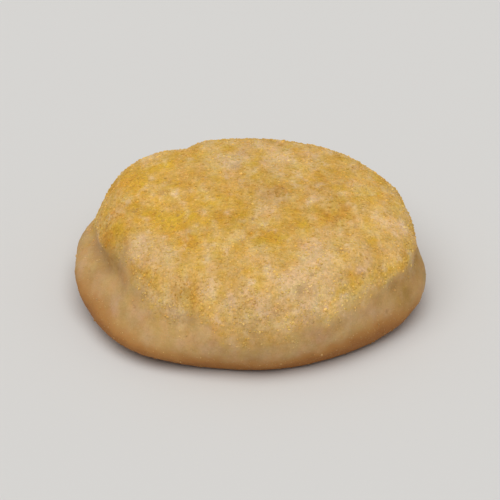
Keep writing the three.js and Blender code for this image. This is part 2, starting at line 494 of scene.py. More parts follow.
# Besides its baked colours, this finish carries painted shade in the hollows, the lee of the cap and low on
# the side.
@dataclass(frozen=True)
class CrustFinish(BakedFinish):
    """Griddle-baked crust: golden and grainy on top, pale at the side, brown where it met the griddle.

    A field that ends in _over says over which numbers a colour sets in. One that ends in _most says how much
    of the colour there is at most. One that ends in _in says how much one pattern adds to another's number.

    Attributes:
        grain_size_mm: How wide one grain of the crust is.
        warp: How far the grains are pushed out of shape at the most, in mm.
        warp_scale: How many waves that push has in one mm.
        mottle: Uneven baking, a few grains wide.
        speckle: Uneven baking, finer than a grain.
        skin: The fine relief of the smooth crust.
        grain_contrast: How much the grains differ in lightness.
        speckle_contrast: How much the speckle differs in lightness.
        grain_gloss: How much less rough the smoothest grain is.
    """

    name: str = "baked_crust"
    gold: Colour = (0.632, 0.354, 0.034)
    pale: Colour = (0.718, 0.482, 0.238)
    orange: Colour = (0.580, 0.262, 0.034)
    side: Colour = (0.560, 0.358, 0.186)
    side_gold: Colour = (0.570, 0.346, 0.126)
    side_shade: Colour = (0.480, 0.296, 0.116)
    toasted_light: Colour = (0.455, 0.212, 0.060)
    toasted: Colour = (0.360, 0.150, 0.042)
    # Painted shade in the hollows: pores, pits and the bottom of the fold are darkened towards this colour.
    pore: Colour = (0.375, 0.215, 0.085)
    grain_size_mm: float = 0.62
    warp: float = 0.5
    warp_scale: float = 1.1
    mottle: Wave = Wave(1.7, detail=2.0, seed=3)
    speckle: Wave = Wave(0.45, detail=1.0, seed=5)
    skin: Wave = Wave(0.7, detail=3.0, seed=13)
    grain_bump_mm: float = 0.10
    skin_bump_mm: float = 0.05
    gold_over: Span = (0.10, 0.90)
    gold_mottle_in: float = 0.15
    orange_marks: Wave = Wave(4.4, detail=2.0, seed=19)
    orange_over: Span = (0.40, 0.90)
    orange_tone_in: float = 0.4
    orange_warm_in: float = 0.6
    orange_speckle_in: float = 0.1
    orange_most: float = 0.55
    side_marks: Wave = Wave(4.5, detail=3.0, seed=11)
    side_over: Span = (-0.5, 0.6)
    side_speckle_in: float = 0.3
    side_gold_marks: Wave = Wave(5.0, detail=2.0, seed=27)
    side_gold_over: Span = (-0.6, 0.5)
    side_gold_most: float = 0.8
    toasted_light_over: Span = (0.0, 0.75)
    toasted_over: Span = (0.62, 1.05)
    toasted_mottle_in: float = 0.10
    toasted_speckle_in: float = 0.06
    grain_contrast: float = 0.26
    speckle_contrast: float = 0.10
    roughness: float = 0.82
    grain_gloss: float = 0.14

    def constants(self) -> dict[Key, Value]:
        """Returns the shader's fixed numbers: soft bread with almost no gloss."""
        return {
            "Specular IOR Level": 0.18,
            "Subsurface Weight": 0.12,
            "Subsurface Radius": (1.0, 0.55, 0.25),
            "Subsurface Scale": 1.2 * MM,
        }

    def patterns(self, graph: Graph) -> dict[Key, Value]:
        """Works out the crust's colour, roughness and bump.

        Args:
            graph: The material's graph.

        Returns:
            The shader's inputs that change over the surface.
        """
        place = self.place_mm(graph)
        drawn = place * DRAWN_IN
        dusted = self.read(graph, Attribute.DUSTED)
        mottle = graph.noise(place, self.mottle)
        speckle = graph.noise(place, self.speckle)
        push = graph.node("ShaderNodeTexNoise", {}, {"Vector": place, "Scale": self.warp_scale})["Color"]
        far, chance = graph.cells(place + push * self.warp, self.grain_size_mm)
        top = self.top_colour(graph, drawn, mottle, speckle)
        colour = graph.mix(dusted, self.side_colour(graph, drawn, speckle), top)
        colour = self.shaded(graph, colour, drawn)
        grainy = (chance - 0.5) * dusted * self.grain_contrast
        colour = colour * (grainy + speckle * self.speckle_contrast + 1.0)
        colour = self.toasted_colour(graph, colour, mottle, speckle)
        # Painted shade: the hollows take the darker pore colour.
        colour = graph.mix(self.read(graph, Attribute.HOLLOW), colour, self.pore)
        height = (1.0 - far) * dusted * self.grain_bump_mm + graph.noise(place, self.skin) * self.skin_bump_mm
        bump = graph.node("ShaderNodeBump", {}, {"Strength": 1.0, "Distance": MM, "Height": height})
        roughness = self.roughness - chance * self.grain_gloss * dusted
        return {"Base Color": colour, "Roughness": roughness, "Normal": bump[0]}

    def top_colour(self, graph: Graph, drawn: Socket, mottle: Socket, speckle: Socket) -> Socket:
        """Works out the colour of the dusted top.

        Args:
            graph: The material's graph.
            drawn: Where each point is, drawn in.
            mottle: The coarser uneven baking.
            speckle: The finer.

        Returns:
            A colour from pale over gold to orange.
        """
        tone = self.read(graph, Attribute.TONE)
        warm = self.read(graph, Attribute.WARM)
        golden = graph.step(tone + mottle * self.gold_mottle_in, *self.gold_over)
        top = graph.mix(golden, self.pale, self.gold)
        heat = graph.noise(drawn, self.orange_marks) + tone * self.orange_tone_in
        heat = heat + warm * self.orange_warm_in + speckle * self.orange_speckle_in
        return graph.mix(graph.step(heat, *self.orange_over) * self.orange_most, top, self.orange)

    def side_colour(self, graph: Graph, drawn: Socket, speckle: Socket) -> Socket:
        """Works out the colour of the bare side.

        Args:
            graph: The material's graph.
            drawn: Where each point is, drawn in.
            speckle: The finer uneven baking.

        Returns:
            A beige that is darker, lighter or more golden from place to place.
        """
        light = graph.noise(drawn, self.side_marks) + speckle * self.side_speckle_in
        side = graph.mix(graph.step(light, *self.side_over), self.side_shade, self.side)
        golden = graph.step(graph.noise(drawn, self.side_gold_marks), *self.side_gold_over)
        return graph.mix(golden * self.side_gold_most, side, self.side_gold)

    def toasted_colour(self, graph: Graph, colour: Socket, mottle: Socket, speckle: Socket) -> Socket:
        """Toasts a colour where the crust met the griddle.

        Args:
            graph: The material's graph.
            colour: The colour before.
            mottle: The coarser uneven baking.
            speckle: The finer.

        Returns:
            The colour, light brown or brown where it is toasted.
        """
        # Partly painted shade: the browning low on the side also darkens it towards the bottom.
        heat = self.read(graph, Attribute.TOASTED)
        heat = heat + mottle * self.toasted_mottle_in + speckle * self.toasted_speckle_in
        colour = graph.mix(graph.step(heat, *self.toasted_light_over), colour, self.toasted_light)
        return graph.mix(graph.step(heat, *self.toasted_over), colour, self.toasted)


@dataclass(frozen=True)
class CornmealFinish(BakedFinish):
    """Dry cornmeal: each grain has its own tint, from deep gold to cream.

    Fields that end in _over and _most are as in the crust's finish. The digits are what a grain's tint is
    multiplied by, so that its further digits serve as a second and a third random number.

    Attributes:
        gold_at: Where gold stands on the ramp from deep gold to cream.
        light_at: Where light gold stands on it.
        ramp_start: Where on it the deepest grain of the most golden place lies.
        tint_reach: How much of it the grains of one place spread over.
        tone_reach: How much of it lies between the most and the least golden places.
        darkest: The lightness of the darkest grain.
        lightness_reach: How much lighter most others are, at the most.
        bright_gain: How much lighter still a few bright ones are.
    """

    name: str = "cornmeal_grains"
    deep: Colour = (0.595, 0.320, 0.040)
    gold: Colour = (0.650, 0.376, 0.062)
    light: Colour = (0.725, 0.478, 0.150)
    cream: Colour = (0.800, 0.585, 0.250)
    orange: Colour = (0.590, 0.275, 0.040)
    floury: Colour = (0.610, 0.402, 0.188)
    toasted: Colour = (0.400, 0.185, 0.055)
    gold_at: float = 0.34
    light_at: float = 0.70
    ramp_start: float = 0.11
    tint_reach: float = 0.20
    tone_reach: float = 0.7
    orange_over: Span = (0.15, 0.70)
    orange_most: float = 0.55
    floury_over: Span = (0.6, 0.1)
    floury_most: float = 0.75
    toasted_over: Span = (0.35, 1.0)
    toasted_most: float = 0.75
    lightness_digits: float = 37.0
    bright_digits: float = 91.0
    bright_over: Span = (0.84, 0.98)
    darkest: float = 0.83
    lightness_reach: float = 0.30
    bright_gain: float = 0.28
    roughness: float = 0.6
    roughness_marks: Wave = Wave(0.3, detail=1.0, seed=17, strength=0.12)

    def constants(self) -> dict[Key, Value]:
        """Returns the shader's fixed numbers: small hard grains that let a little light through."""
        return {
            "Specular IOR Level": 0.20,
            "Subsurface Weight": 0.2,
            "Subsurface Radius": (1.0, 0.7, 0.3),
            "Subsurface Scale": 0.5 * MM,
        }

    def patterns(self, graph: Graph) -> dict[Key, Value]:
        """Works out the grains' colour and roughness.

        Args:
            graph: The material's graph.

        Returns:
            The shader's inputs that change over the surface.
        """
        place = self.place_mm(graph)
        tint = self.read(graph, Attribute.TINT)
        grain = self.shaded(graph, self.grain_colour(graph, tint), place * DRAWN_IN)
        chance = graph.math("FRACT", tint * self.lightness_digits)
        bright = graph.step(graph.math("FRACT", tint * self.bright_digits), *self.bright_over)
        grain = grain * (chance * self.lightness_reach + bright * self.bright_gain + self.darkest)
        heat = graph.step(self.read(graph, Attribute.TOASTED), *self.toasted_over)
        colour = graph.mix(heat * self.toasted_most, grain, self.toasted)
        roughness = self.roughness + graph.noise(place, self.roughness_marks)
        return {"Base Color": colour, "Roughness": roughness}

    def grain_colour(self, graph: Graph, tint: Socket) -> Socket:
        """Works out what colour a grain has by its tint and by the crust that it lies on.

        Args:
            graph: The material's graph.
            tint: Each grain's own random number.

        Returns:
            The colour before light, shade and toasting.
        """
        tone = self.read(graph, Attribute.TONE)
        warm = graph.step(self.read(graph, Attribute.WARM), *self.orange_over)
        floury = graph.step(self.read(graph, Attribute.DUSTED), *self.floury_over)
        stops = [(0.0, self.deep), (self.gold_at, self.gold), (self.light_at, self.light), (1.0, self.cream)]
        along = tint * self.tint_reach + (1.0 - tone) * self.tone_reach + self.ramp_start
        grain = graph.node("ShaderNodeValToRGB", {"stops": stops}, {0: along})[0]
        grain = graph.mix(warm * self.orange_most, grain, self.orange)
        return graph.mix(floury * self.floury_most, grain, self.floury)


@dataclass(frozen=True)
class FloorFinish(Finish):
    """A plain pale studio floor with the faintest unevenness."""

    name: str = "pale_floor"
    colour: Colour = (0.700, 0.692, 0.678)
    darkest: float = 0.985
    unevenness: Wave = Wave(180.0, detail=1.0, seed=0)

    def constants(self) -> dict[Key, Value]:
        """Returns the floor's fixed numbers."""
        return {"Specular IOR Level": 0.2, "Roughness": 0.9}

    def patterns(self, graph: Graph) -> dict[Key, Value]:
        """Works out the floor's colour.

        Args:
            graph: The material's graph.

        Returns:
            The shader's one input that changes over the surface.
        """
        wave = graph.noise(self.place_mm(graph), self.unevenness)
        darker = tuple(part * self.darkest for part in self.colour)
        return {"Base Color": graph.mix(wave * 0.5 + 0.5, self.colour, darker)}


# ---------------------------------------------------------------------------------------------------------
# Places on the muffin
# ---------------------------------------------------------------------------------------------------------


@dataclass(frozen=True)
class Patch:
    """A place on the crust whose colour differs from the rest.

    Attributes:
        spot: Where it is on the muffin, in mm.
        reach_mm: How far it reaches.
        tone: How much deeper gold it is, or paler below 0.
        warm: How far it is toasted to orange, or kept from it below 0.
        light: How much lighter it is, or darker below 0. Low on the front and in the tuck on the near right,
            the darkening is painted shade.
    """

    spot: Spot
    reach_mm: float
    tone: float = 0.0
    warm: float = 0.0
    light: float = 0.0


@dataclass(frozen=True)
class Pit:
    """A shallow pit in the crust.

    Attributes:
        spot: Where it is on the muffin, in mm.
        reach_mm: How far it reaches.
        depth: How deep it is, from 0 to 1.
    """

    spot: Spot
    reach_mm: float
    depth: float


@dataclass(frozen=True)
class Rise:
    """A stretch of the side on which the edge of a colour runs higher or lower.

    Attributes:
        at_deg: The direction of its middle.
        around_deg: How far round it reaches.
        up_mm: How much higher the edge is there, or lower below 0.
    """

    at_deg: float
    around_deg: float
    up_mm: float


@dataclass(frozen=True)
class Shadow:
    """Painted shade: a stretch of crust whose colour is darkened in the lee of the cap.

    Attributes:
        at_deg: The direction of its middle.
        around_deg: How far round it reaches.
        height_mm: The height of its middle.
        reach_mm: How far it reaches up and down.
        depth: How much darker the painted shade makes it.
    """

    at_deg: float
    around_deg: float
    height_mm: float
    reach_mm: float
    depth: float


# The larger marks of uneven baking, on the top and on the side. Those that darken the low front and the
# tuck on the near right are painted shade.
PATCHES = (
    Patch((-24.0, 2.0, 27.5), 11.0, tone=0.13),
    Patch((-23.0, 2.0, 27.0), 4.5, light=0.7),
    Patch((-20.5, -8.5, 26.7), 6.0, tone=0.46, light=0.8),
    Patch((-22.0, 17.5, 28.0), 3.5, tone=0.14, light=0.8),
    Patch((-26.5, 13.5, 27.0), 2.5, tone=-0.22),
    Patch((-18.0, 6.5, 28.2), 3.5, tone=0.14, warm=-0.6),
    Patch((-14.0, 24.0, 28.0), 4.0, light=0.6),
    Patch((-32.0, 13.0, 26.0), 5.0, tone=0.56, warm=0.6, light=0.9),
    Patch((-37.1, -8.0, 21.3), 4.5, tone=0.28, warm=0.8),
    Patch((-37.0, -1.0, 22.5), 3.5, warm=0.9),
    Patch((-15.5, -19.5, 26.8), 3.7, tone=0.42, warm=0.7, light=0.4),
    Patch((-12.0, 0.0, 28.4), 3.5, tone=0.14, light=0.4),
    Patch((-7.9, 6.7, 28.6), 4.0, tone=0.08, warm=0.4, light=0.1),
    Patch((-5.0, -9.0, 28.0), 4.0, tone=0.30, light=-0.5),
    Patch((3.0, -17.5, 27.7), 4.0, tone=0.42, warm=0.8),
    Patch((8.5, -22.0, 27.0), 3.0, light=0.5),
    Patch((13.0, -12.0, 27.5), 4.5, tone=0.24),
    Patch((21.5, -6.0, 27.4), 4.5, tone=0.10, warm=1.0, light=-0.2),
    Patch((19.0, 8.0, 28.3), 8.0, tone=0.06, warm=0.2),
    Patch((22.5, 17.0, 26.8), 4.0, tone=0.26, light=-0.3),
    Patch((15.5, 13.5, 28.0), 3.0, light=0.6),
    Patch((28.4, -28.6, 21.2), 2.0, warm=0.6),
    Patch((23.0, -34.0, 20.5), 3.0, tone=0.20),
    Patch((-25.0, -28.5, 22.0), 4.0, warm=0.7),
    Patch((-32.5, -21.5, 20.0), 3.0, tone=0.30),
    Patch((-13.0, -39.4, 18.3), 2.5, tone=0.16, warm=0.3),
    Patch((-6.0, -42.0, 17.0), 4.5, light=0.3),
    Patch((-11.0, -41.0, 14.5), 3.5, light=0.2),
    Patch((22.0, -36.5, 18.0), 3.5, tone=0.04, warm=-0.4, light=1.6),
    # Painted shade low on the front.
    Patch((22.5, -37.5, 13.0), 3.5, light=-0.3),
    Patch((28.5, -31.5, 17.0), 4.0, light=0.8),
    Patch((-29.1, -17.6, 24.4), 4.5, tone=-0.64, warm=0.3, light=-0.2),
    Patch((-23.5, -26.0, 24.5), 4.0, tone=-0.12),
    Patch((-16.5, -13.9, 26.7), 2.2, tone=-0.40),
    Patch((-18.0, -35.0, 21.5), 4.0, tone=-0.16, warm=0.6, light=-0.7),
    Patch((-11.0, -36.0, 23.5), 4.0, tone=-0.06, warm=0.2, light=0.4),
    Patch((-4.5, -35.5, 24.5), 3.0, tone=0.20),
    Patch((1.5, -36.5, 24.5), 3.5, tone=-0.08, light=0.8),
    Patch((8.5, -43.0, 15.5), 3.0, tone=-0.30, light=0.5),
    Patch((-6.2, 18.0, 29.2), 5.0, tone=-0.36),
    Patch((5.5, 0.0, 29.0), 4.5, tone=-0.16, warm=0.3, light=-1.0),
    Patch((8.5, 6.0, 29.0), 3.5, tone=0.22, warm=0.5),
    Patch((-7.0, -20.5, 27.1), 3.2, tone=-0.16, light=0.2),
    Patch((-8.5, -27.5, 26.3), 3.5, tone=0.18),
    Patch((9.0, 22.0, 28.0), 5.5, tone=-0.38, light=0.1),
    Patch((38.5, -8.5, 24.5), 4.5, tone=-0.25, light=0.4),
    Patch((32.5, 3.5, 26.8), 5.0, tone=0.10, warm=-0.5, light=0.4),
    Patch((30.5, -12.0, 26.4), 3.5, tone=-0.12, warm=-0.3, light=0.5),
    Patch((22.0, 1.0, 28.0), 3.0, light=-0.5),
    Patch((24.5, -12.0, 27.0), 3.5, tone=-0.16, light=-0.4),
    Patch((24.5, -21.5, 26.0), 3.5, tone=-0.16, warm=-1.1),
    Patch((28.0, -26.0, 23.5), 3.5, tone=-0.08, light=0.1),
    Patch((36.5, -21.0, 21.5), 4.0, tone=0.12, light=0.5),
    Patch((16.5, -23.5, 26.8), 5.0, tone=-0.28),
    Patch((20.0, -28.5, 25.0), 4.5, tone=-0.20, light=0.1),
    Patch((12.8, -35.5, 23.5), 4.6, tone=-0.75, light=0.3),
    Patch((15.5, -37.0, 22.0), 3.0, light=-0.8),
    Patch((17.0, -38.5, 19.0), 2.5, tone=-0.30, light=0.7),
    # Painted shade low on the front, the first also on paler crust.
    Patch((0.0, -39.5, 21.5), 6.5, tone=-0.14, light=-0.2),
    Patch((4.0, -44.0, 13.0), 6.0, light=-0.3),
    Patch((-18.0, -38.0, 15.0), 4.0, tone=-0.35),
    Patch((-14.0, 33.0, 27.0), 6.0, tone=-0.14),
    Patch((-39.5, -5.0, 15.5), 4.0, light=0.7),
    Patch((40.0, -20.5, 18.5), 2.5, light=0.7),
    # Painted shade in the tuck on the near right.
    Patch((40.5, -20.5, 11.0), 5.0, light=-0.9),
)

PITS = (
    Pit((23.5, -22.2, 25.8), 1.6, depth=0.50),
    Pit((-22.9, 4.6, 27.5), 1.8, depth=0.40),
    Pit((-3.9, 15.5, 29.4), 1.8, depth=0.45),
    Pit((38.0, -22.4, 14.8), 2.2, depth=0.40),
    Pit((-27.8, -30.4, 16.7), 2.0, depth=0.50),
    Pit((-12.9, 10.2, 28.8), 1.6, depth=0.35),
    Pit((13.0, -37.2, 22.7), 1.8, depth=0.45),
    Pit((19.2, 5.5, 28.3), 1.6, depth=0.40),
    Pit((-2.2, -19.3, 27.3), 1.5, depth=0.35),
    Pit((-20.5, -36.5, 17.0), 1.8, depth=0.35),
    Pit((6.0, 33.0, 26.5), 1.8, depth=0.40),
    Pit((-31.0, 24.0, 24.5), 1.6, depth=0.35),
    Pit((40.5, 8.0, 20.0), 1.8, depth=0.35),
)

BARE_SIDES = (
    Rise(at_deg=320.0, around_deg=15.0, up_mm=2.4),
    Rise(at_deg=208.0, around_deg=18.0, up_mm=6.5),
    Rise(at_deg=276.0, around_deg=18.0, up_mm=-2.0),
    Rise(at_deg=355.0, around_deg=14.0, up_mm=3.0),
)

# Where the browning, partly painted shade, runs higher up the side.
TOASTED_SIDES = (
    Rise(at_deg=205.0, around_deg=30.0, up_mm=4.4),
    Rise(at_deg=318.0, around_deg=24.0, up_mm=3.4),
)

# Painted shade in the lee of the cap, one stretch on the left over the low lobe and one on the right.
SHADOWS = (
    Shadow(at_deg=200.0, around_deg=13.0, height_mm=18.0, reach_mm=3.6, depth=0.9),
    Shadow(at_deg=352.0, around_deg=13.0, height_mm=13.5, reach_mm=3.2, depth=0.9),
)


class Points:
    """The points of the crust, as its tree reads them.

    Attributes:
        graph: The tree's graph.
        place: Where each point is, in mm.
        drawn: The same, drawn in.
        height: How high it is, in mm.
        angle: Its direction round the muffin, in radians.
        normal: Which way it faces.
        up: How far it faces up, from 1, straight up, to -1.
    """

    def __init__(self, graph: Graph) -> None:
        """Adds the nodes that read the points.

        Args:
            graph: The tree's graph.
        """
        self.graph = graph
        self.place = graph.node("GeometryNodeInputPosition")[0] * (1.0 / MM)
        self.drawn = self.place * DRAWN_IN
        x, y, self.height = graph.parts(self.place)
        self.angle = graph.math("ARCTAN2", y, x)
        self.normal = graph.node("GeometryNodeInputNormal")[0]
        _, _, self.up = graph.parts(self.normal)

    def near(self, spot: Spot, reach_mm: float) -> Socket:
        """Returns 1 at one spot, falling smoothly to nearly 0 at twice the reach."""
        away = self.graph.node("ShaderNodeVectorMath", {"operation": "DISTANCE"}, {0: self.place, 1: spot})
        return self.graph.hump(away["Value"], reach_mm)

    def towards(self, at_deg: float, around_deg: float) -> Socket:
        """Returns 1 in one direction, falling smoothly to about a third at around_deg to each side."""
        apart = 1.0 - self.graph.math("COSINE", self.angle - math.radians(at_deg))
        return self.graph.math("EXPONENT", apart * (-2.0 / math.radians(around_deg) ** 2))

    def above(self, rises: tuple[Rise, ...]) -> Socket:
        """Works out how high each point is above an edge that rises and sinks round the muffin.

        Args:
            rises: Where the edge runs higher or lower. It is at 0 elsewhere.

        Returns:
            The height above the edge, in mm.
        """
        height = self.height
        for rise in rises:
            height = height - self.towards(rise.at_deg, rise.around_deg) * rise.up_mm
        return height


# ---------------------------------------------------------------------------------------------------------
# The crust
# ---------------------------------------------------------------------------------------------------------


@dataclass(frozen=True)
class Fold:
    """The fold between the low lobe and the cap.

    Attributes:
        at_deg: The direction of its middle.
        around_deg: How far round it reaches.
        height_mm: Its mean height.
        rise_mm: How much it rises and sinks.
        highest_at_deg: A direction in which it would be highest, if it ran all round.
        half_width_mm: How wide it is to each side.
    """

    at_deg: float = 189.0
    around_deg: float = 20.0
    height_mm: float = 13.2
    rise_mm: float = 1.2
    highest_at_deg: float = 25.0
    half_width_mm: float = 1.2

    def line(self, points: Points) -> Socket:
        """Works out where the fold runs.

        Args:
            points: The crust's points.

        Returns:
            1 along its bottom, falling to 0 beside it and at its ends.
        """
        graph = points.graph
        twice_round = (points.angle - math.radians(self.highest_at_deg)) * 2.0
        rise = graph.math("COSINE", twice_round) * self.rise_mm
        beside = graph.hump(points.height - self.height_mm - rise, self.half_width_mm)
        return beside * points.towards(self.at_deg, self.around_deg)


@dataclass(frozen=True)
class Dusting:
    """Where cornmeal covers the crust: the top, with a ragged edge on the shoulder.

    Attributes:
        over_mm: The heights over which it sets in.
        over_facing: How far up the crust has to face for it to stay on.
        edge: How ragged its edge is, in mm.
        rises: Where its edge runs higher or lower.
    """

    over_mm: Span = (9.5, 19.0)
    over_facing: Span = (-0.25, 0.30)
    edge: tuple[Wave, ...] = (
        Wave(7.0, detail=3.0, seed=1, strength=6.0),
        Wave(2.2, detail=2.0, seed=2, strength=3.5),
    )
    rises: tuple[Rise, ...] = BARE_SIDES

    def share(self, points: Points) -> Socket:
        """Works out the dusting.

        Args:
            points: The crust's points.

        Returns:
            1 where the crust is covered, 0 where it is bare.
        """
        graph = points.graph
        height = points.above(self.rises) + graph.waves(points.place, self.edge)
        return graph.step(height, *self.over_mm) * graph.step(points.up, *self.over_facing)


@dataclass(frozen=True)
class Colouring:
    """How golden, how warm and how light the crust is from place to place.

    Attributes:
        tone: How golden it is on the whole.
        broad_tones: How that varies broadly.
        fine_tone: How it varies finely.
        flour: Where flour makes it paler.
        flour_over: The noise over which the flour sets in.
        flour_most: How much paler it is at the most.
        warmth: How warm it is.
        broad_shades: How its lightness varies broadly.
        fine_shade: How its lightness varies finely.
        lobe_at_deg: The direction of the low lobe, on whose side shade is painted.
        lobe_around_deg: How far round it reaches.
        lobe_over_mm: The heights over which the painted shade sets in.
        lobe_depth: How much darker the painted shade makes it.
        shadows: Where shade is painted on the crust in the lee of the cap.
        patches: Where it is deeper gold, paler, more orange, lighter or darker than all this. The darker
            ones low on the front and in the tuck on the near right are painted shade.
    """

    tone: float = 0.56
    broad_tones: tuple[Wave, ...] = (
        Wave(6.0, detail=1.0, seed=4, strength=0.38),
        Wave(3.0, detail=0.0, seed=6, strength=0.18),
    )
    fine_tone: Wave = Wave(1.5, detail=0.0, seed=12, strength=0.11)
    flour: Wave = Wave(2.6, detail=0.5, seed=7)
    flour_over: Span = (0.10, 0.60)
    flour_most: float = 0.32
    warmth: Wave = Wave(9.0, detail=1.0, seed=18, strength=0.2)
    broad_shades: tuple[Wave, ...] = (
        Wave(7.0, detail=1.0, seed=15, strength=0.30),
        Wave(2.8, detail=0.0, seed=16, strength=0.43),
    )
    fine_shade: Wave = Wave(1.4, detail=1.0, seed=14, strength=0.45)
    lobe_at_deg: float = 200.0
    lobe_around_deg: float = 30.0
    lobe_over_mm: Span = (15.0, 11.0)
    lobe_depth: float = 0.35
    shadows: tuple[Shadow, ...] = SHADOWS
    patches: tuple[Patch, ...] = PATCHES

    def tones(self, points: Points) -> tuple[Socket, Socket, Socket]:
        """Works out the crust's colours.

        Args:
            points: The crust's points.

        Returns:
            How golden, how warm and how light each point is.
        """
        tone = self.gold(points)
        warm = points.graph.noise(points.place, self.warmth)
        shade = self.shade(points)
        for patch in self.patches:
            near = points.near(patch.spot, patch.reach_mm)
            if patch.tone:
                tone = tone + near * patch.tone
            if patch.warm:
                warm = warm + near * patch.warm
            if patch.light:
                shade = shade + near * patch.light
        return tone, warm, shade

    def gold(self, points: Points) -> Socket:
        """Works out how golden the crust is before its patches.

        Args:
            points: The crust's points.

        Returns:
            Its tone, which is lower where flour lies.
        """
        graph = points.graph
        tone = graph.waves(points.drawn, self.broad_tones) + graph.noise(points.place, self.fine_tone)
        floury = graph.step(graph.noise(points.drawn, self.flour), *self.flour_over)
        return tone + self.tone - floury * self.flour_most

    def shade(self, points: Points) -> Socket:
        """Works out how light the crust is before its patches.

        Args:
            points: The crust's points.

        Returns:
            How much lighter it is, or darker below 0, as where shade is painted on the low lobe and
            in the lee of the cap.
        """
        graph = points.graph
        shade = graph.waves(points.drawn, self.broad_shades) + graph.noise(points.place, self.fine_shade)
        # Painted shade on the side of the low lobe.
        lobe = points.towards(self.lobe_at_deg, self.lobe_around_deg)
        shade = shade - lobe * graph.step(points.height, *self.lobe_over_mm) * self.lobe_depth
        # Painted shade in the lee of the cap.
        for shadow in self.shadows:
            side = points.towards(shadow.at_deg, shadow.around_deg)
            level = graph.hump(points.height - shadow.height_mm, shadow.reach_mm)
            shade = shade - side * level * shadow.depth
        return shade


# The browning low on the side is partly griddle toasting and partly painted shade, darker towards the bottom.
@dataclass(frozen=True)
class Toasting:
    """How toasted the crust is: evenly underneath, and less and less up the side, with a ragged edge.

    Attributes:
        over_mm: The heights over which the toasting sets in.
        edge: How ragged its edge is, in mm.
        rises: Where its edge runs higher.
    """

    over_mm: Span = (9.0, 0.6)
    edge: Wave = Wave(6.0, detail=3.0, seed=8, strength=2.4)
    rises: tuple[Rise, ...] = TOASTED_SIDES

    def heat(self, points: Points) -> Socket:
        """Returns how toasted each point is, from 0 to 1."""
        height = points.above(self.rises) + points.graph.noise(points.place, self.edge)
        return points.graph.step(height, *self.over_mm)


# The crust's finish darkens these hollows with painted shade.
@dataclass(frozen=True)
class Hollows:
    """Where the crust is hollow: scattered pores, a few soft pits and the bottom of the fold.

    Attributes:
        apart_mm: How far apart the places are in which a pore can be.
        seed: Which pattern of pores it is.
        edge: How ragged the hollows' edges are.
        pore_over: The distances from its middle over which a pore sets in, as shares of apart_mm.
        chosen_over: The random numbers over which a place comes to have a pore.
        pore_depth: How deep a pore is.
        pit_over: The nearness over which a pit sets in, from 0, far off, to 1, at its middle.
        pit_facing: How far up the crust has to face for a pit.
        pits: The pits.
        fold_depth: How deep the bottom of the fold is, which also sets how dark its painted shade is.
    """

    apart_mm: float = 3.9
    seed: int = 21
    edge: Wave = Wave(1.1, detail=2.0, seed=22, strength=0.22)
    pore_over: Span = (0.24, 0.08)
    chosen_over: Span = (0.84, 0.88)
    pore_depth: float = 0.6
    pit_over: Span = (0.15, 0.95)
    pit_facing: Span = (-0.2, 0.2)
    pits: tuple[Pit, ...] = PITS
    fold_depth: float = 0.45

    def depth(self, points: Points, fold: Socket) -> Socket:
        """Works out the hollows.

        Args:
            points: The crust's points.
            fold: Where the fold runs.

        Returns:
            How deep each point is, as a share of the deepest that a hollow can be.
        """
        graph = points.graph
        far, chance = graph.cells(points.place, self.apart_mm, self.seed)
        ragged = graph.noise(points.place, self.edge)
        pore = graph.step(far + ragged, *self.pore_over)
        hollow = pore * graph.step(chance, *self.chosen_over) * self.pore_depth
        facing = graph.step(points.up, *self.pit_facing)
        for pit in self.pits:
            near = points.near(pit.spot, pit.reach_mm)
            soft = graph.step(near + ragged, *self.pit_over) * pit.depth
            hollow = graph.math("MAXIMUM", hollow, soft * facing)
        return graph.math("MAXIMUM", hollow, fold * self.fold_depth)


@dataclass(frozen=True)
class Relief:
    """The small forms of the crust.

    Attributes:
        lump_mm: How far soft lumps rise and sink.
        grit_mm: How far grit does.
        wrinkle_mm: How far the wrinkles of the bare side do.
        hollow_mm: How deep the deepest hollow could be.
        fold_mm: How deep the fold is.
        bare_grit: How much of the grit the bare side has.
        wrinkle_stretch: How wrinkles are drawn out along X, Y and Z. The lower, the longer.
        foot_facing: How far down the crust has to face to be the foot, which only goes inwards.
    """

    lump_mm: float = 0.24
    grit_mm: float = 0.15
    wrinkle_mm: float = 0.14
    hollow_mm: float = 0.40
    fold_mm: float = 0.6
    lumps: Wave = Wave(3.4, detail=2.0, seed=31)
    grit: Wave = Wave(1.0, detail=1.0, seed=32)
    bare_grit: float = 0.3
    wrinkles: Wave = Wave(1.7, detail=2.0, seed=33)
    wrinkle_stretch: Spot = (1.0, 1.0, 0.4)
    foot_facing: Span = (-0.5, -0.9)

    def moved(self, tree: ModifierTree, points: Points, dusted: Socket, hollow: Socket,
              fold: Socket) -> Socket:
        """Works out where each point of the crust goes.

        Args:
            tree: The tree, whose inputs are the heights of the forms.
            points: The crust's points.
            dusted: Where the crust is dusted.
            hollow: How deep its hollows are.
            fold: Where the fold runs.

        Returns:
            The new places, in mm. None is below the floor, and none of the foot is further out than before.
        """
        graph = tree.graph
        stretched = points.place * self.wrinkle_stretch
        gritty = dusted * (1.0 - self.bare_grit) + self.bare_grit
        lumps = graph.noise(points.drawn, self.lumps) * tree["Lumps"]
        grit = graph.noise(points.place, self.grit) * tree["Grit"] * gritty
        wrinkles = graph.noise(stretched, self.wrinkles) * tree["Wrinkles"] * (1.0 - dusted)
        relief = lumps + grit + wrinkles - hollow * tree["Hollows"] - fold * tree["Fold"]
        inward = -graph.math("ABSOLUTE", relief)
        foot = graph.step(points.up, *self.foot_facing)
        height = relief * (1.0 - foot) + inward * foot
        x, y, z = graph.parts(points.place + points.normal * height)
        return graph.vector(x, y, graph.math("MAXIMUM", z, 0.0))


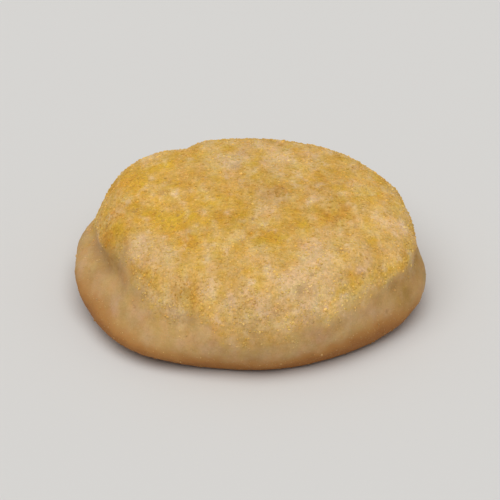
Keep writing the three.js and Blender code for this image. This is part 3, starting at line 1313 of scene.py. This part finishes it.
@dataclass
class Crust:
    """The crust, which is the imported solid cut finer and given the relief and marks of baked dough.

    Attributes:
        levels: How often each face is cut in four.
        joined_mm: How close two corners of the solid's loose triangles are joined.
    """

    levels: int = 2
    joined_mm: float = 0.001
    fold: Fold = Fold()
    dusting: Dusting = Dusting()
    colouring: Colouring = Colouring()
    toasting: Toasting = Toasting()
    hollows: Hollows = Hollows()
    relief: Relief = Relief()
    finish: CrustFinish = CrustFinish()

    def source(self, node: bpy.types.Object) -> bpy.types.Mesh:
        """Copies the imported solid's mesh and joins its loose triangles.

        Args:
            node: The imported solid's object.

        Returns:
            The copy, which has no material.
        """
        mesh = node.data.copy()
        form = bmesh.new()
        form.from_mesh(mesh)
        bmesh.ops.remove_doubles(form, verts=form.verts, dist=self.joined_mm * MM)
        form.to_mesh(mesh)
        form.free()
        mesh.materials.clear()
        return mesh

    def build(self, node: bpy.types.Object) -> bpy.types.Object:
        """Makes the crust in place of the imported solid.

        Args:
            node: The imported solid's object.

        Returns:
            The crust, which carries the numbers that the finishes read.
        """
        tree = ModifierTree("crust relief", {
            "Levels": self.levels,
            "Lumps": self.relief.lump_mm,
            "Grit": self.relief.grit_mm,
            "Wrinkles": self.relief.wrinkle_mm,
            "Hollows": self.relief.hollow_mm,
            "Fold": self.relief.fold_mm,
        })
        graph = tree.graph
        cut = {"Mesh": tree["Geometry"], "Level": tree["Levels"]}
        carried = graph.node("GeometryNodeSubdivisionSurface", {}, cut)[0]
        points = Points(graph)
        fold = self.fold.line(points)
        marks = self.marks(points, fold)
        settings = {"data_type": "FLOAT", "domain": "POINT"}
        for attribute, value in marks.items():
            inputs = {"Geometry": carried, "Name": attribute.value, "Value": value}
            carried = graph.node("GeometryNodeStoreNamedAttribute", settings, inputs)[0]
        moved = self.relief.moved(tree, points, marks[Attribute.DUSTED], marks[Attribute.HOLLOW], fold)
        shaped = graph.node("GeometryNodeSetPosition", {}, {"Geometry": carried, "Position": moved * MM})[0]
        smooth = graph.node("GeometryNodeSetShadeSmooth", {}, {"Geometry": shaped})[0]
        tree.end(smooth, self.finish.material())
        crust = tree.make(self.source(node), "crust")
        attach(crust, BODY)
        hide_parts(MUFFIN_NODE)
        return crust

    def marks(self, points: Points, fold: Socket) -> dict[Attribute, Socket]:
        """Works out where the crust is dusted, golden, warm, shaded, toasted or hollow.

        Args:
            points: The crust's points.
            fold: Where the fold runs.

        Returns:
            Each mark's numbers.
        """
        tone, warm, shade = self.colouring.tones(points)
        return {
            Attribute.DUSTED: self.dusting.share(points),
            Attribute.TONE: tone,
            Attribute.WARM: warm,
            Attribute.SHADE: shade,
            Attribute.TOASTED: self.toasting.heat(points),
            Attribute.HOLLOW: self.hollows.depth(points, fold),
        }


# ---------------------------------------------------------------------------------------------------------
# The cornmeal
# ---------------------------------------------------------------------------------------------------------


class Draw(Enum):
    """The random numbers that are drawn for each grain, which differ by the number that each has here."""

    SIZE = 2
    DEPTH = 3
    KIND = 4
    TINT = 5
    TIP_SIDEWAYS = 6
    TIP_FORWARDS = 7
    SPIN = 8


@dataclass
class Cornmeal:
    """Loose cornmeal that sticks to the crust, as crumbs of real size.

    Attributes:
        name: The piece's name.
        per_square_mm: How many grains are strewn on each square millimetre.
        apart_mm: How close two grains can lie.
        smallest_mm: The width of the smallest grain.
        largest_mm: The width of the largest grain.
        stray: How much of the cover there is where the crust isn't dusted.
        segments: How many sides a grain has round it.
        rings: How many bands a grain has from bottom to top.
        seed: Which random pattern it is.
        draws_a_seed: How many draws of random numbers each seed has room for.
        kinds: How many shapes of grain there are.
        short_of_kinds: How far below their number the draw of a shape ends.
        narrowest: The depth of the narrowest grain, as a share of its width.
        flatness: A grain's height, as a share of its width.
        tip_deg: How far a grain is tipped at the most.
        bumps: What pulls the first kind of grain out of shape.
        next_bumps: How far the seed of the next kind's pattern is from the last.
        clumps: Where the grains lie close. The piece's seed is added to the pattern's.
        clumps_over: The noise over which they come to lie close.
        thinnest: The cover where they lie widest, as a share of the full cover.
        toasted_stray: How many strays more the toasted crust has, for each one that it would have.
        clear_over_mm: The heights over which the grains set in, clear of the floor.
    """

    name: str
    per_square_mm: float
    apart_mm: float
    smallest_mm: float
    largest_mm: float
    stray: float
    segments: int
    rings: int
    seed: int
    draws_a_seed: int = 10
    kinds: int = 4
    short_of_kinds: float = 0.01
    narrowest: float = 0.65
    flatness: float = 0.62
    tip_deg: float = 24.0
    bumps: Wave = Wave(0.55, detail=0.0, seed=50, strength=0.38)
    next_bumps: int = 3
    clumps: Wave = Wave(3.2, detail=2.0, seed=41)
    clumps_over: Span = (-0.7, 0.4)
    thinnest: float = 0.3
    toasted_stray: float = 8.0
    clear_over_mm: Span = (0.5, 0.9)
    finish: CornmealFinish = CornmealFinish()

    def build(self, crust: bpy.types.Object) -> bpy.types.Object:
        """Makes the grains on the crust.

        Args:
            crust: The finished crust.

        Returns:
            All the grains as one mesh.
        """
        tree = ModifierTree(self.name, {
            "Grains per square metre": self.per_square_mm / MM ** 2,
            "Apart": self.apart_mm * MM,
            "Smallest": self.smallest_mm * MM,
            "Largest": self.largest_mm * MM,
            "Seed": self.seed,
        })
        graph = tree.graph
        kind = self.chance(graph, Draw.KIND, 0.0, self.kinds - self.short_of_kinds)
        spread = graph.node("GeometryNodeDistributePointsOnFaces", {"distribute_method": "POISSON"}, {
            "Mesh": tree["Geometry"],
            "Distance Min": tree["Apart"],
            "Density Max": tree["Grains per square metre"],
            "Density Factor": self.cover(graph),
            "Seed": tree["Seed"],
        })
        laid = graph.node("GeometryNodeInstanceOnPoints", {}, {
            "Points": spread["Points"],
            "Instance": self.crumbs(graph),
            "Pick Instance": True,
            "Instance Index": graph.math("FLOOR", kind),
            "Rotation": self.turn(graph, spread["Normal"]),
            "Scale": self.scale(tree),
        })[0]
        tinted = graph.node("GeometryNodeStoreNamedAttribute", {"data_type": "FLOAT", "domain": "INSTANCE"}, {
            "Geometry": laid,
            "Name": Attribute.TINT.value,
            "Value": self.chance(graph, Draw.TINT, 0.0, 1.0),
        })[0]
        tree.end(tinted, self.finish.material())
        grains = tree.make(crust.data.copy(), self.name)
        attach(grains, BODY)
        return grains

    def chance(self, graph: Graph, draw: Draw, low: float, high: float) -> Socket:
        """Returns a random number between two limits for each grain, which is the same each time."""
        # Inputs 2 and 3 and output 1 are the node's plain numbers.
        inputs = {2: low, 3: high, "Seed": self.seed * self.draws_a_seed + draw.value}
        return graph.node("FunctionNodeRandomValue", {"data_type": "FLOAT"}, inputs)[1]

    def scale(self, tree: ModifierTree) -> Socket:
        """Draws each grain's size, of which small ones are the most common.

        Args:
            tree: The tree, whose inputs are the smallest and the largest width.

        Returns:
            Each grain's width, depth and height, in metres.
        """
        size = self.chance(tree.graph, Draw.SIZE, 0.0, 1.0)
        wide = tree["Smallest"] + (tree["Largest"] - tree["Smallest"]) * size * size
        deep = wide * self.chance(tree.graph, Draw.DEPTH, self.narrowest, 1.0)
        return tree.graph.vector(wide, deep, wide * self.flatness)

    def cover(self, graph: Graph) -> Socket:
        """Works out how thickly each point of the crust is covered.

        Args:
            graph: The tree's graph.

        Returns:
            The cover from 0 to 1.
        """
        place = graph.node("GeometryNodeInputPosition")[0] * (1.0 / MM)
        _, _, height = graph.parts(place)
        clear = graph.step(height, *self.clear_over_mm)
        own_clumps = replace(self.clumps, seed=self.clumps.seed + self.seed)
        close = graph.step(graph.noise(place, own_clumps), *self.clumps_over)
        thick = self.carried(graph, Attribute.DUSTED) * (close * (1.0 - self.thinnest) + self.thinnest)
        strays = (self.carried(graph, Attribute.TOASTED) * self.toasted_stray + 1.0) * self.stray
        return graph.math("MAXIMUM", thick, strays) * clear

    def carried(self, graph: Graph, attribute: Attribute) -> Socket:
        """Returns a number that the crust carries."""
        inputs = {"Name": attribute.value}
        return graph.node("GeometryNodeInputNamedAttribute", {"data_type": "FLOAT"}, inputs)[0]

    def turn(self, graph: Graph, normal: Socket) -> Socket:
        """Lays each grain on the crust, then spins and tips it at random.

        Args:
            graph: The tree's graph.
            normal: Which way the crust faces under it.

        Returns:
            Each grain's rotation.
        """
        lying = graph.node("FunctionNodeAlignRotationToVector", {"axis": "Z"}, {"Vector": normal})[0]
        tip = math.radians(self.tip_deg)
        random = graph.vector(
            self.chance(graph, Draw.TIP_SIDEWAYS, -tip, tip),
            self.chance(graph, Draw.TIP_FORWARDS, -tip, tip),
            self.chance(graph, Draw.SPIN, 0.0, math.tau),
        )
        spun = graph.node("FunctionNodeEulerToRotation", {}, {0: random})[0]
        return graph.node("FunctionNodeRotateRotation", {"rotation_space": "LOCAL"}, {0: lying, 1: spun})[0]

    def crumbs(self, graph: Graph) -> Socket:
        """Makes the kinds of crumb, each a lump of few sides about 1 across, pulled out of shape.

        Args:
            graph: The tree's graph.

        Returns:
            The kinds as separate instances.
        """
        kinds = []
        for kind in range(self.kinds):
            sides = {"Radius": 0.5, "Segments": self.segments, "Rings": self.rings}
            lump = graph.node("GeometryNodeMeshUVSphere", {}, sides)[0]
            place = graph.node("GeometryNodeInputPosition")[0]
            bumps = replace(self.bumps, seed=self.bumps.seed + kind * self.next_bumps)
            moved = {"Geometry": lump, "Position": place * (graph.noise(place, bumps) + 1.0)}
            kinds.append(graph.node("GeometryNodeSetPosition", {}, moved)[0])
        return graph.node("GeometryNodeGeometryToInstance", {}, {0: kinds})[0]


CORNMEAL = (
    Cornmeal(
        name="cornmeal",
        per_square_mm=1.30,
        apart_mm=0.46,
        smallest_mm=0.45,
        largest_mm=1.10,
        stray=0.006,
        segments=5,
        rings=3,
        seed=7,
    ),
    Cornmeal(
        name="fine_cornmeal",
        per_square_mm=4.0,
        apart_mm=0.28,
        smallest_mm=0.24,
        largest_mm=0.48,
        stray=0.03,
        segments=4,
        rings=2,
        seed=8,
    ),
)


# ---------------------------------------------------------------------------------------------------------
# The studio
# ---------------------------------------------------------------------------------------------------------


@dataclass(frozen=True)
class SoftLight:
    """A very wide light far away, which lights muffin and floor alike.

    Attributes:
        name: Its name.
        towards: Where it stands, seen from the muffin.
        wide_deg: How wide it looks from the muffin.
        strength: Its strength, in watts per square metre.
        colour: Its colour.
    """

    name: str
    towards: tuple[float, float, float]
    wide_deg: float
    strength: float
    colour: Colour = (1.0, 1.0, 1.0)

    def build(self) -> None:
        """Makes the light and turns it to the muffin."""
        data = bpy.data.lights.new(self.name, "SUN")
        data.angle = math.radians(self.wide_deg)
        data.energy = self.strength
        data.color = self.colour
        light = bpy.data.objects.new(self.name, data)
        light.location = Vector(self.towards).normalized()
        light.rotation_euler = light.location.to_track_quat("Z", "Y").to_euler()
        bpy.context.scene.collection.objects.link(light)


@dataclass
class Studio:
    """The floor, the soft light and the camera. A length without a unit in its name is in metres.

    Attributes:
        elevation_deg: How far above the level the camera looks from.
        distance: How far away it is.
        view_width_mm: How much it sees across, at the muffin.
        sensor_mm: The width of its sensor.
        target_height_mm: The height of the point that it looks at.
        floor_side: The floor's width.
        floor_squares: How many squares the floor has along each side.
        flat_radius: How far from the muffin the floor is flat.
        floor_bend: How fast it rises beyond, in metres for each square metre.
        sky: The colour of the light from all round.
        sky_strength: The strength of that light.
        light: The one lamp.
        finish: The floor's finish.
    """

    elevation_deg: float = 31.0
    distance: float = 1.2
    view_width_mm: float = 133.0
    sensor_mm: float = 36.0
    target_height_mm: float = 12.5
    floor_side: float = 12.0
    floor_squares: int = 96
    flat_radius: float = 2.0
    floor_bend: float = 0.03
    sky: Colour = (1.0, 0.99, 0.97)
    sky_strength: float = 0.42
    light: SoftLight = SoftLight(name="key", towards=(-0.10, -0.31, 1.0), wide_deg=70.0, strength=1.81)
    finish: FloorFinish = FloorFinish()

    def build(self) -> None:
        """Makes everything round the muffin."""
        self.floor()
        self.light.build()
        self.camera()
        self.surroundings()

    def floor(self) -> None:
        """Makes the floor that the muffin lies on, which is flat near it and rises gently far away."""
        squares = self.floor_squares
        form = bmesh.new()
        bmesh.ops.create_grid(form, x_segments=squares, y_segments=squares, size=self.floor_side / 2)
        for vertex in form.verts:
            beyond = max(0.0, vertex.co.xy.length - self.flat_radius)
            vertex.co.z = self.floor_bend * beyond ** 2
        for face in form.faces:
            face.smooth = True
        mesh = bpy.data.meshes.new("floor")
        form.to_mesh(mesh)
        form.free()
        mesh.materials.append(self.finish.material())
        floor = bpy.data.objects.new("floor", mesh)
        bpy.context.scene.collection.objects.link(floor)

    def camera(self) -> None:
        """Makes the camera in front of the muffin, looking down at it."""
        data = bpy.data.cameras.new("camera")
        data.sensor_width = self.sensor_mm
        data.lens = self.sensor_mm * self.distance / (self.view_width_mm * MM)
        camera = bpy.data.objects.new("camera", data)
        tilt = math.radians(self.elevation_deg)
        target = Vector((0.0, 0.0, self.target_height_mm * MM))
        back = Vector((0.0, -math.cos(tilt), math.sin(tilt)))
        camera.location = target + back * self.distance
        camera.rotation_euler = (-back).to_track_quat("-Z", "Y").to_euler()
        bpy.context.scene.collection.objects.link(camera)
        bpy.context.scene.camera = camera

    def surroundings(self) -> None:
        """Lights everything evenly from all round, and shows colours as they are."""
        world = bpy.data.worlds.new("studio")
        world.use_nodes = True
        background = world.node_tree.nodes["Background"]
        background.inputs["Color"].default_value = (*self.sky, 1.0)
        background.inputs["Strength"].default_value = self.sky_strength
        bpy.context.scene.world = world
        bpy.context.scene.view_settings.view_transform = "Standard"


def triangles(piece: bpy.types.Object) -> int:
    """Returns how many triangles a piece has."""
    return sum(len(face.vertices) - 2 for face in piece.data.polygons)


def main() -> None:
    """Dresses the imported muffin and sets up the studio."""
    logging.basicConfig(level=logging.INFO, format="%(name)s: %(message)s")
    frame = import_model()
    Studio().build()
    crust = Crust().build(frame["nodes"][MUFFIN_NODE])
    for piece in (crust, *(meal.build(crust) for meal in CORNMEAL)):
        log.info("%s: %d triangles", piece.name, triangles(piece))


if __name__ == "__main__":
    main()
